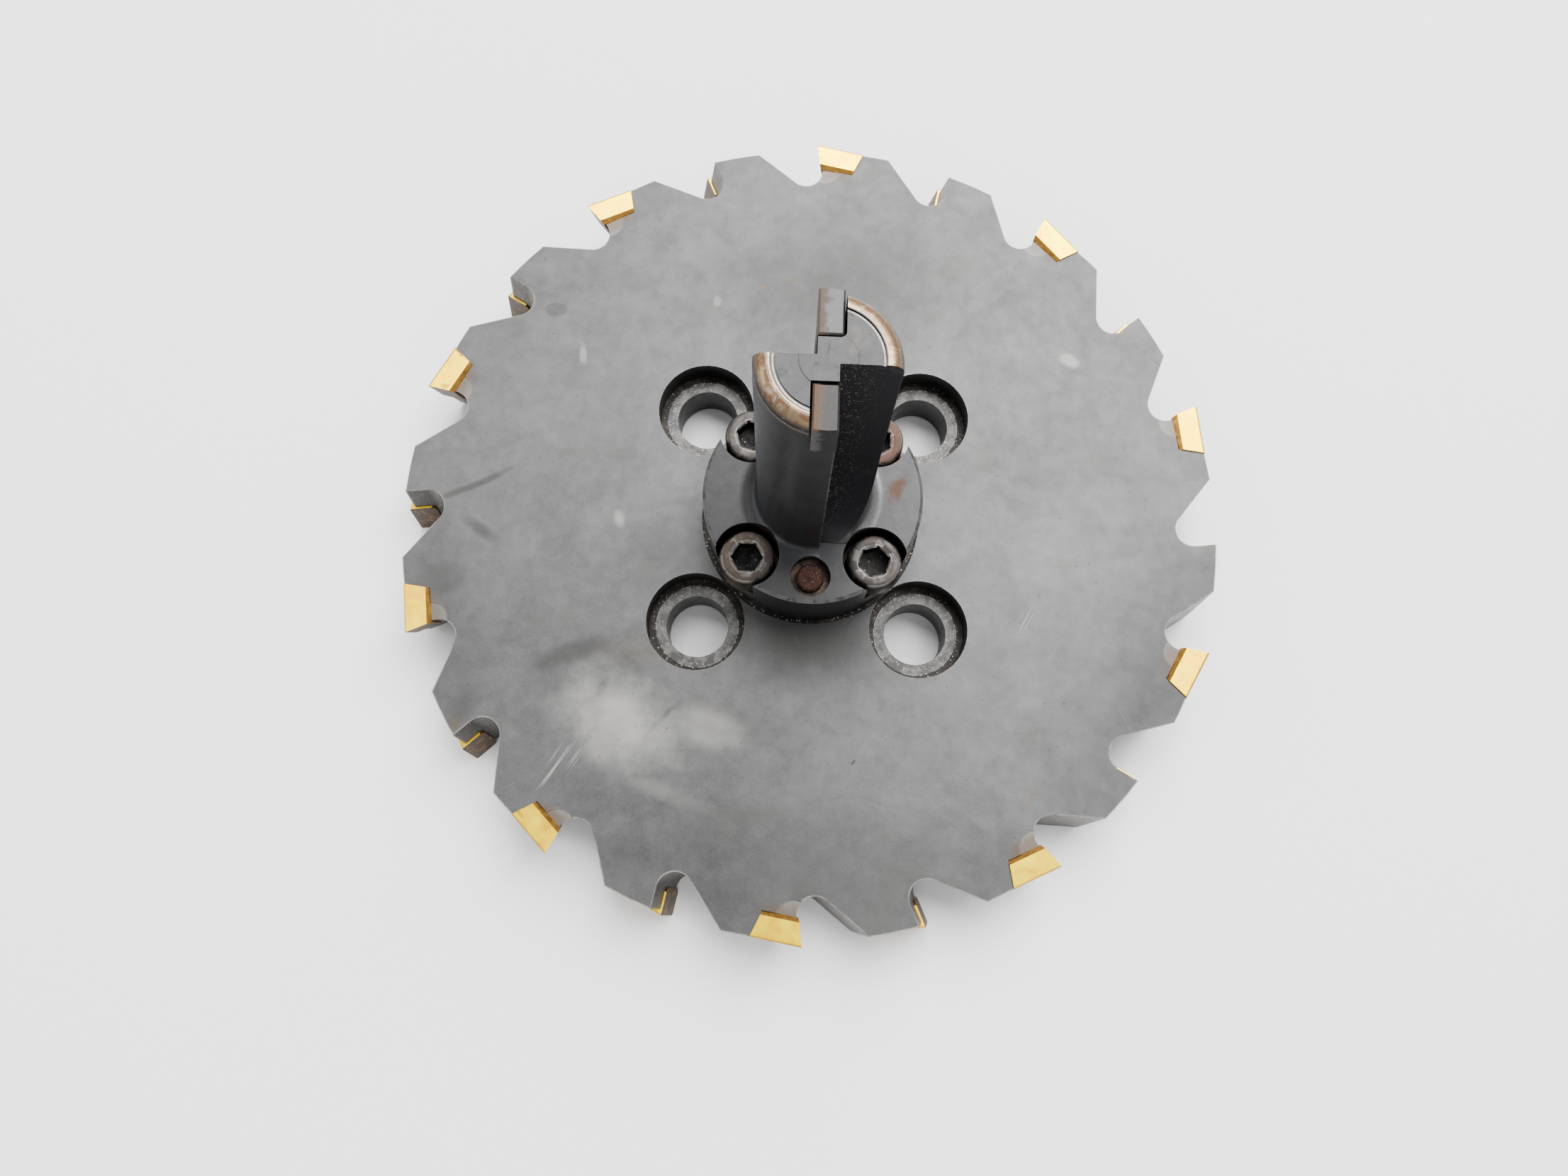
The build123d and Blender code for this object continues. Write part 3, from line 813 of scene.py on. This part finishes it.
@dataclass(frozen=True)
class ScrewSteel:
    """Cap screw: worn head ring, a painted highlight on the head's chamfer, a socket painted black as shade
    with painted glints, brown rust by degrees.
    """

    steel: Colour = (0.036, 0.0335, 0.031)
    rust: Colour = (0.038, 0.022, 0.012)
    rusted: float = 0.35
    copper: float = 0.0
    tarnish: Colour = (0.058, 0.022, 0.012)
    mouth: Colour = (0.14, 0.135, 0.125)
    # rim: painted highlight on the head's chamfer
    rim: Colour = (0.24, 0.23, 0.21)
    # socket: painted shade inside the hexagon socket
    socket: Colour = (0.0135, 0.013, 0.0125)
    glint: Colour = (0.40, 0.40, 0.39)
    gum: Colour = (0.035, 0.028, 0.022)

    def material(
        self, name: str, centre: Vector, top: float, socket: float, shift: float
    ) -> bpy.types.Material:
        """Build the finish of one screw.

        Args:
            name: the material's name.
            centre: the screw's axis, mm.
            top: height of the head's top, mm.
            socket: radius of the hexagon's corners, mm.
            shift: offset of the patterns.

        Returns:
            The material.
        """
        g = Graph(name)
        radius = g.distance(centre.x, centre.y)
        grain = g.noise(0.30, 3.0, 0.7, shift=shift)
        stain = g.noise(1.9, 4.0, 0.65, warp=1.0, shift=shift + 6.0)
        colour = g.tint(self.steel, 1.0 + (grain - 0.5) * 0.4 + (stain - 0.5) * 0.4)
        rust = stain.step(0.62 - 0.35 * self.rusted, 0.80 - 0.35 * self.rusted)
        colour = g.mix(rust * (0.45 + 0.5 * self.rusted), colour, self.rust)
        if self.copper > 0:
            colour = g.mix(self.copper, colour, g.tint(self.tarnish, 0.6 + stain * 0.8))
        on_top = g.z.step(top - 0.65, top - 0.45)
        ring = abs(radius - socket - 0.05).step(0.35, 0.12) * on_top
        colour = g.mix(ring * 0.5, colour, self.mouth)
        # painted highlight: the head's chamfer ring made bright
        rim = g.level.step(0.5, 0.62) * g.level.step(0.9, 0.78) * on_top
        colour = g.mix(rim * stain.step(0.2, 0.55) * 0.7, colour, self.rim)
        # painted shade: the socket near-black inside, with painted glints
        inside = radius.step(socket + 0.05, socket - 0.1) * g.z.step(top - 0.25, top - 0.5)
        glint = g.specks(0.45, 0.02, shift + 2.0)
        dark = g.mix(glint, g.tint(self.socket, 0.4 + stain * 1.2), self.glint)
        colour = g.mix(inside, colour, dark)
        below = g.z.step(top - 1.2, top - 2.2)
        colour = g.mix(below * (1.0 - inside) * 0.65, colour, self.gum)
        rough = 0.36 + rust * 0.25 + (grain - 0.5) * 0.2 + inside * 0.16
        metal = (0.92 - rust * 0.45).either(inside * 0.96)
        return g.finish(colour, rough, metal, grain * 0.35 + stain * 0.65, 0.035)


@dataclass(frozen=True)
class RustedPin:
    """Dowel end: scaly red-brown rust."""

    deep: Colour = (0.014, 0.006, 0.005)
    red: Colour = (0.036, 0.013, 0.008)
    orange: Colour = (0.26, 0.075, 0.016)
    grit: Colour = (0.16, 0.14, 0.13)

    def material(self) -> bpy.types.Material:
        """Build the finish."""
        g = Graph("rusted_pin")
        scale = g.noise(0.85, 4.0, 0.7, warp=0.8)
        crumb = g.noise(0.30, 3.0, 0.7, shift=4.0)
        colour = g.mix(scale.step(0.36, 0.62), self.deep, self.red)
        colour = g.mix(crumb.step(0.56, 0.68) * 0.85, colour, self.orange)
        colour = g.mix(g.specks(0.4, 0.03, 2.0) * 0.6, colour, self.grit)
        return g.finish(colour, 0.72 + (crumb - 0.5) * 0.3, 0.6, scale * 0.7 + crumb * 0.3, 0.16)


@dataclass(frozen=True)
class BlackOxide:
    """Insert screws: black oxide, rubbed at the socket and dusty in its corners."""

    black: Colour = (0.020, 0.0195, 0.020)
    rubbed: Colour = (0.22, 0.21, 0.20)

    def material(self) -> bpy.types.Material:
        """Build the finish."""
        g = Graph("black_oxide")
        wear = g.noise(0.8, 4.0, 0.65, warp=0.5)
        grain = g.noise(0.25, 2.0, 0.6, shift=6.0)
        colour = g.tint(self.black, 0.7 + wear * 0.9)
        colour = g.mix(wear.step(0.58, 0.70) * 0.6, colour, self.rubbed)
        return g.finish(colour, 0.38 + (grain - 0.5) * 0.2, 0.75, grain * 0.6 + wear * 0.4, 0.02)


# ------------------------------------------------------------------------------------------- the sub-parts


@dataclass(frozen=True)
class Hub:
    """Sizes of the disc that its finish needs, mm."""

    top: float
    rim: float
    hole_offset: float
    head_radius: float = 8.93
    seat_radius: float = 7.43
    register: float = 19.95

    @classmethod
    def of_frame(cls, node: str, mount: str) -> "Hub":
        """Read the heights and the rim from a node, and the holes' place from a mount."""
        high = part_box(node)[1]
        circle = next(m["dims"]["pcd_mm"] for m in mounts() if m["name"] == mount)
        return cls(high.z / MM, high.x / MM, circle / 2 * math.sqrt(0.5))


@dataclass(frozen=True)
class StemSizes:
    """Sizes of the stem and flange that their finish needs, mm."""

    end: float
    flange_radius: float
    flange_top: float = 29.785
    radius: float = 9.525
    groove: float = 6.95
    rim: float = 7.15
    rim_full: float = 7.55
    scale: float = 8.7
    scale_full: float = 9.3
    boss: float = 3.72
    jaw_side: float = 1.41

    @classmethod
    def of_frame(cls, node: str) -> "StemSizes":
        """Read the stem's end and the flange's radius from a node."""
        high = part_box(node)[1]
        return cls(high.z / MM, high.x / MM)


def mounts() -> list[dict[str, Any]]:
    """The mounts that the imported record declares."""
    return frame["record"]["mounts"]


def nodes_named(start: str) -> list[bpy.types.Object]:
    """The CAD nodes whose names start with these letters, in order."""
    return [node for name, node in sorted(frame["nodes"].items()) if name.startswith(start)]


def lathe(outline: Sequence[tuple[float, float]], steps: int) -> bmesh.types.BMesh:
    """Turn an outline about Z.

    Args:
        outline: radius and height of each corner, mm.
        steps: segments of the full turn.

    Returns:
        The turned mesh; it is open where the outline ends off the axis.
    """
    shape = bmesh.new()
    verts = [shape.verts.new((radius, 0.0, height)) for radius, height in outline]
    edges = [shape.edges.new(pair) for pair in zip(verts, verts[1:])]
    bmesh.ops.spin(
        shape, geom=verts + edges, cent=(0, 0, 0), axis=(0, 0, 1), angle=2 * math.pi, steps=steps,
        use_merge=True,
    )
    bmesh.ops.remove_doubles(shape, verts=shape.verts, dist=1e-5)
    return shape


def finished_piece(
    shape: bmesh.types.BMesh, name: str, material: bpy.types.Material, body: str,
    smooth: float = 35.0,
) -> bpy.types.Object:
    """Turn a mesh in millimetres into a piece that rides on a body.

    Args:
        shape: the mesh, which is used up.
        name: the piece's name.
        material: its finish.
        body: the CAD body that it rides on.
        smooth: edges sharper than this stay sharp, degrees.

    Returns:
        The new object.
    """
    bmesh.ops.recalc_face_normals(shape, faces=shape.faces)
    bmesh.ops.scale(shape, verts=shape.verts, vec=(MM, MM, MM))
    for face in shape.faces:
        face.smooth = True
    for edge in shape.edges:
        edge.smooth = edge.is_boundary or edge.calc_face_angle(0.0) < math.radians(smooth)
    mesh = bpy.data.meshes.new(name)
    shape.to_mesh(mesh)
    shape.free()
    mesh.materials.append(material)
    piece = bpy.data.objects.new(name, mesh)
    bpy.context.scene.collection.objects.link(piece)
    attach(piece, body)
    log.info("%s: %d faces, %s", name, len(mesh.polygons), material.name)
    return piece


def dress(node: bpy.types.Object, material: bpy.types.Material) -> None:
    """Give a CAD node one finish, in all its slots."""
    if not node.material_slots:
        node.data.materials.append(material)
    for place in node.material_slots:
        place.material = material
    log.info("%s: %s", node.name, material.name)


@dataclass
class Disc:
    """The toothed disc, modelled whole in CAD."""

    finish: DiscSteel = field(default_factory=DiscSteel)
    tooth: Tooth = field(default_factory=Tooth)

    def build(self) -> None:
        """Dress the disc."""
        hub = Hub.of_frame("cutter_body", "spindle_bolts")
        dress(frame["nodes"]["cutter_body"], self.finish.material(hub, self.tooth))


@dataclass
class Inserts:
    """The twenty coated inserts and their screws."""

    coating: NitrideGold = field(default_factory=NitrideGold)
    screws: BlackOxide = field(default_factory=BlackOxide)

    def build(self) -> None:
        """Dress the inserts and the screws."""
        coating, black = self.coating.material(), self.screws.material()
        for side in Side:
            for node in nodes_named(f"{side.value}_insert_"):
                dress(node, black if node.name.endswith("screws") else coating)


@dataclass
class Stem:
    """The stem with its flange, its two drive keys and the dowel pin."""

    finish: StemSteel = field(default_factory=StemSteel)
    keys: tuple[KeySteel, ...] = (
        KeySteel(steel=(0.046, 0.0455, 0.045), rusted=0.2),
        KeySteel(steel=(0.022, 0.0215, 0.0205), rusted=0.5),
    )

    def build(self) -> None:
        """Dress the stem, the keys and the pin."""
        sizes = StemSizes.of_frame("drive_stem")
        dress(frame["nodes"]["drive_stem"], self.finish.material(sizes))
        for key, node in zip(self.keys, nodes_named("drive_key_")):
            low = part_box(node.name)[0]
            dress(node, key.material(f"{node.name}_steel", low.x / MM, 1.6))
        dress(frame["nodes"]["dowel_pin"], RustedPin().material())


@dataclass
class CapScrews:
    """The four cap screws through the flange: knurled heads, broken edges, worn hexagon sockets; in mm."""

    finishes: tuple[ScrewSteel, ...] = (
        ScrewSteel(rusted=0.75, copper=0.8),
        ScrewSteel(rusted=0.45),
        ScrewSteel(rusted=0.75),
        ScrewSteel(rusted=0.4),
    )
    socket_across_flats: float = 4.76
    socket_turns: tuple[float, ...] = (0.0, 15.0, 30.0, 45.0)
    socket_depth: float = 3.1
    countersink: float = 0.28
    head_height: float = 6.35
    shank_radius: float = 3.175
    edge: float = 0.62
    knurls: int = 72
    knurl_depth: float = 0.07

    def build(self) -> None:
        """Model, dress and seat the four screws."""
        corner = self.socket_across_flats / math.sqrt(3)
        for number, (finish, node) in enumerate(zip(self.finishes, nodes_named("cap_screw_"))):
            low, high = (corner_of / MM for corner_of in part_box(node.name))
            centre = (low + high) / 2
            screw = self.shape((high.x - low.x) / 2, low.z, high.z, math.radians(self.socket_turns[number]))
            bmesh.ops.translate(screw, verts=screw.verts, vec=(centre.x, centre.y, 0.0))
            material = finish.material(f"{node.name}_steel", centre, high.z, corner, 13.0 * number)
            body = f"{node.name}_body"
            piece = finished_piece(screw, f"{node.name}_shown", material, body)
            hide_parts(node.name)

    def shape(self, head: float, tip: float, top: float, turn: float) -> bmesh.types.BMesh:
        """Turn the screw on its own axis and broach its socket.

        Args:
            head: radius of the head.
            tip: height of the screw's end.
            top: height of the head's top.
            turn: angle of the hexagon, radians.

        Returns:
            The screw's mesh, in mm.
        """
        apothem = self.socket_across_flats / 2
        mouth = apothem / math.cos(math.pi / 6) + 0.12
        seat = top - self.head_height
        outline = (
            (0.0, tip), (self.shank_radius - 0.6, tip), (self.shank_radius, tip + 0.6),
            (self.shank_radius, seat), (head - 0.2, seat), (head, seat + 0.2),
            (head, top - self.edge - 0.15), (head - 0.10, top - self.edge),
            (head - self.edge + 0.08, top - 0.06), (head - self.edge - 0.12, top), (mouth, top),
        )
        shape = lathe(outline, 2 * self.knurls)
        rim = [e for e in shape.edges if e.is_boundary]
        for drop in (self.countersink, self.socket_depth):
            ring = bmesh.ops.extrude_edge_only(shape, edges=rim)["geom"]
            verts = [v for v in ring if isinstance(v, bmesh.types.BMVert)]
            for vert in verts:
                angle = math.atan2(vert.co.y, vert.co.x) - turn
                reach = apothem / math.cos((angle + math.pi / 6) % (math.pi / 3) - math.pi / 6)
                scale = reach / math.hypot(vert.co.x, vert.co.y)
                vert.co = Vector((vert.co.x * scale, vert.co.y * scale, top - drop))
            rim = [e for e in ring if isinstance(e, bmesh.types.BMEdge)]
        floor = bmesh.ops.extrude_edge_only(shape, edges=rim)["geom"]
        bottom = [v for v in floor if isinstance(v, bmesh.types.BMVert)]
        bmesh.ops.pointmerge(shape, verts=bottom, merge_co=(0.0, 0.0, top - self.socket_depth - 0.6))
        for vert in shape.verts:
            out = math.hypot(vert.co.x, vert.co.y)
            if out > head - 0.01 and seat < vert.co.z < top - self.edge:
                step = round(math.atan2(vert.co.y, vert.co.x) / (math.pi / self.knurls))
                vert.co.x *= 1.0 - (step % 2) * self.knurl_depth / out
                vert.co.y *= 1.0 - (step % 2) * self.knurl_depth / out
        return shape


# ------------------------------------------------------------------------------------------------- studio


@dataclass(frozen=True)
class StudioCamera:
    """A wide view from nearly overhead; lengths are shares of the cutter's diameter."""

    lens: float = 26.37
    sensor: float = 36.0
    elevation: float = 78.05
    azimuth: float = -0.396
    roll: float = 2.504
    distance: float = 1.3687
    aim: tuple[float, float] = (-0.0287, -0.0895)

    def build(self, low: Vector, high: Vector) -> None:
        """Set the camera.

        Args:
            low: the disc's lowest corner, metres.
            high: the disc's highest corner, metres.
        """
        data = bpy.data.cameras.new("studio_camera")
        data.lens, data.sensor_width = self.lens, self.sensor
        data.clip_start, data.clip_end = 0.01, 20.0
        camera = bpy.data.objects.new("studio_camera", data)
        size = high.x - low.x
        target = Vector((self.aim[0] * size, self.aim[1] * size, high.z))
        e, a = math.radians(self.elevation), math.radians(self.azimuth)
        back = Vector((math.sin(a) * math.cos(e), -math.cos(a) * math.cos(e), math.sin(e)))
        roll = Matrix.Rotation(math.radians(self.roll), 3, "Z").to_quaternion()
        turn = (-back).to_track_quat("-Z", "Y") @ roll
        place = Matrix.Translation(target + back * self.distance * size)
        camera.matrix_world = place @ turn.to_matrix().to_4x4()
        bpy.context.scene.collection.objects.link(camera)
        bpy.context.scene.camera = camera


@dataclass(frozen=True)
class SoftLight:
    """A square soft light that points at the cutter, in metres and watts."""

    name: str
    place: tuple[float, float, float]
    size: float
    power: float

    def build(self, target: Vector) -> None:
        """Add the light, turned towards the target."""
        data = bpy.data.lights.new(self.name, "AREA")
        data.shape, data.size, data.energy = "SQUARE", self.size, self.power
        light = bpy.data.objects.new(self.name, data)
        light.location = self.place
        light.rotation_mode = "QUATERNION"
        light.rotation_quaternion = (target - Vector(self.place)).to_track_quat("-Z", "Y")
        bpy.context.scene.collection.objects.link(light)


@dataclass
class Studio:
    """Pale floor, soft lights and camera."""

    camera: StudioCamera = field(default_factory=StudioCamera)
    lights: tuple[SoftLight, ...] = (
        SoftLight("back_light", (0.26, 0.62, 1.12), 1.1, 58.0),
        SoftLight("left_light", (-0.9, 0.1, 0.8), 0.6, 4.5),
        SoftLight("front_light", (0.3, -0.9, 0.9), 0.7, 4.5),
    )
    floor_half: float = 3.0
    world: Colour = (1.0, 1.0, 1.0)
    world_strength: float = 0.88

    def build(self) -> None:
        """Make the world, the floor, the lights and the camera."""
        world = bpy.data.worlds.new("studio")
        world.use_nodes = True
        background = world.node_tree.nodes["Background"]
        background.inputs["Color"].default_value = (*self.world, 1.0)
        background.inputs["Strength"].default_value = self.world_strength
        bpy.context.scene.world = world

        shape = bmesh.new()
        bmesh.ops.create_grid(shape, x_segments=1, y_segments=1, size=self.floor_half)
        mesh = bpy.data.meshes.new("floor")
        shape.to_mesh(mesh)
        shape.free()
        floor = bpy.data.objects.new("floor", mesh)
        bpy.context.scene.collection.objects.link(floor)
        g = Graph("floor_paper")
        fibre = g.noise(2.0, 2.0, 0.6)
        mesh.materials.append(g.finish(g.tint((0.86, 0.86, 0.86), 0.99 + fibre * 0.02), 0.85, 0.0))

        low, high = CAD_BOX
        for light in self.lights:
            light.build((low + high) / 2)
        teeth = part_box("upper_insert_01")[1]
        self.camera.build(Vector(low), Vector((high.x, high.y, teeth.z)))
        log.info("studio: %d lights", len(self.lights))


def main() -> None:
    """Dress the cutter part by part and set the studio."""
    logging.basicConfig(level=logging.INFO, format="%(name)s: %(message)s")
    Disc().build()
    Inserts().build()
    Stem().build()
    CapScrews().build()
    Studio().build()


if __name__ == "__main__":
    main()
